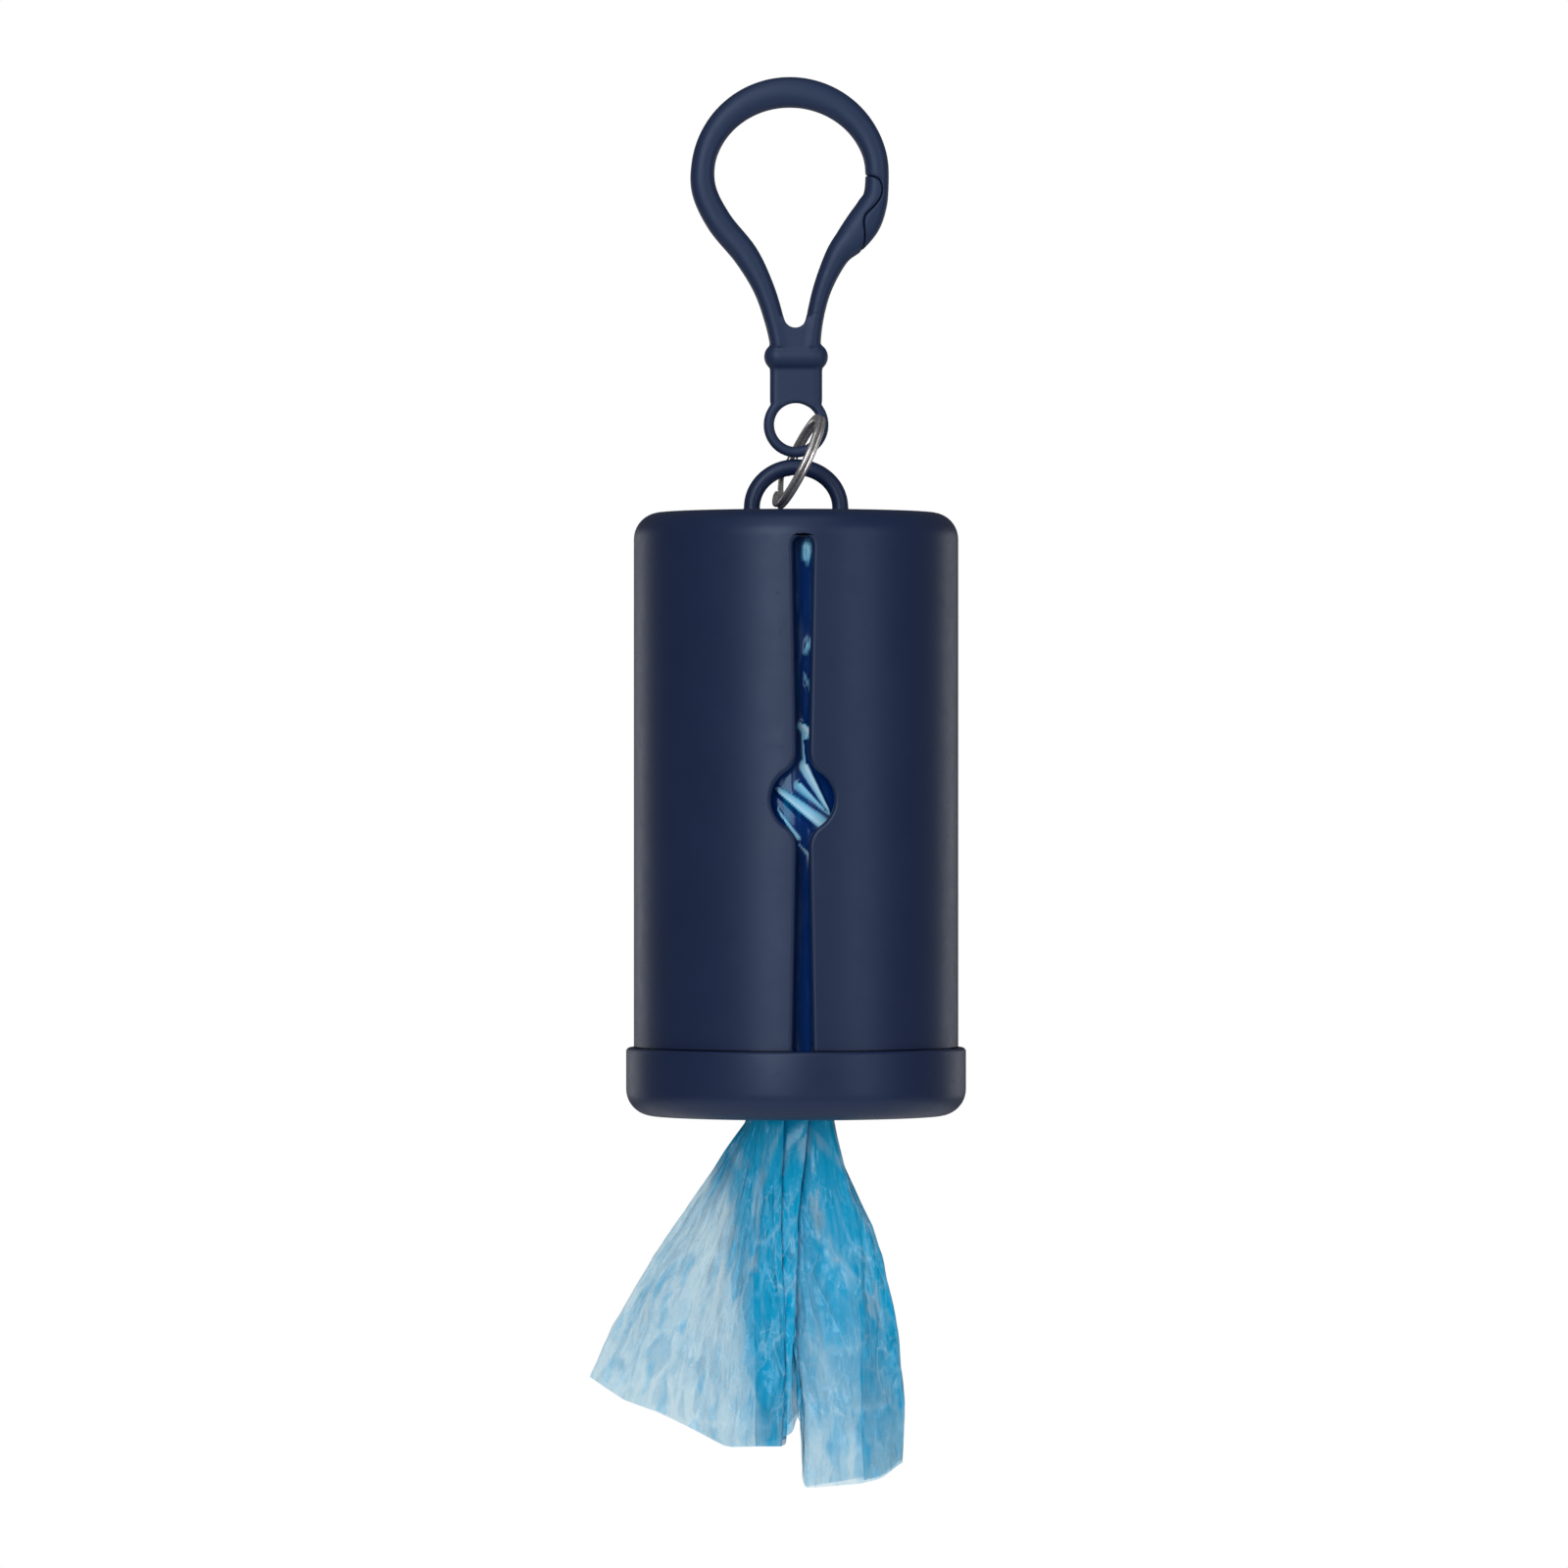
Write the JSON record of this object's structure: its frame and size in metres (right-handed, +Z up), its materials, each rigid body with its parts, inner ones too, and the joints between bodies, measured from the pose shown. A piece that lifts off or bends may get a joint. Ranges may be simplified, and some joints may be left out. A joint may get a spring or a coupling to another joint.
{
  "type": "dog poop bag dispenser",
  "caption": "Capped plastic cylinder for a roll of dog bags, with a slotted front, hung from a moulded leash clip by a small split ring.",
  "frame": {"origin": "inside top of the clip's hook, in line with its strap, where a leash bears", "axes": "+Z up along the housing, the slotted front faces -Y, +X to the right seen from the front"},
  "size_m": [0.0467, 0.042, 0.1739],
  "materials": {
    "housing_plastic": "navy injection moulded plastic, satin",
    "cap_plastic": "navy injection moulded plastic, satin",
    "clip_plastic": "slate navy moulded acetal, satin",
    "ring_steel": "bright nickel plated steel wire",
    "film": "thin translucent blue polyethylene film, creased",
    "card": "plain brown card tube"
  },
  "bodies": {
    "clip": {"clip_body": "clip_plastic"},
    "gate": {"clip_gate": "clip_plastic"},
    "ring": {"split_ring": "ring_steel"},
    "housing": {"housing": "housing_plastic"},
    "film": {"bag_feed": "film"},
    "cap": {"end_cap": "cap_plastic"},
    "roll": {"bag_roll": "film", "roll_core": "card"},
    "tail": {"bag_tail": "film"}
  },
  "joints": [
    {"name": "gate_flex", "type": "hinge", "parent": "clip", "child": "gate", "pos_m": [0.00274, 0, -0.0242], "axis": [0, -1, 0], "range_deg": [0, 18], "stiffness_Nm_per_rad": 0.1},
    {"name": "ring_swing", "type": "hinge", "parent": "clip", "child": "ring", "pos_m": [0, 0, -0.0391], "axis": [0, -1, 0], "range_deg": [-30, 30]},
    {"name": "housing_swing", "type": "hinge", "parent": "ring", "child": "housing", "pos_m": [0, 0, -0.0448], "axis": [1, 0, 0], "range_deg": [-2, 45]},
    {"name": "cap_travel", "type": "slide", "parent": "housing", "child": "film", "axis": [0, 0, -1], "range_m": [0, 0.006]},
    {"name": "cap_turn", "type": "hinge", "parent": "film", "child": "cap", "pos_m": [0, 0, -0.12], "axis": [0, 0, -1], "range_deg": [0, 360]},
    {"name": "roll_spin", "type": "hinge", "parent": "film", "child": "roll", "pos_m": [0, 0, -0.09], "axis": [0, 0, 1], "range_deg": [0, 214.8]},
    {"name": "bag_pull", "type": "slide", "parent": "film", "child": "tail", "axis": [0, 0, -1], "range_m": [0, 0.06]}
  ],
  "couplings": [
    {"joint": "cap_turn", "follows": "cap_travel", "rad_per_m": 1047.1},
    {"joint": "bag_pull", "follows": "roll_spin", "m_per_rad": 0.016}
  ]
}
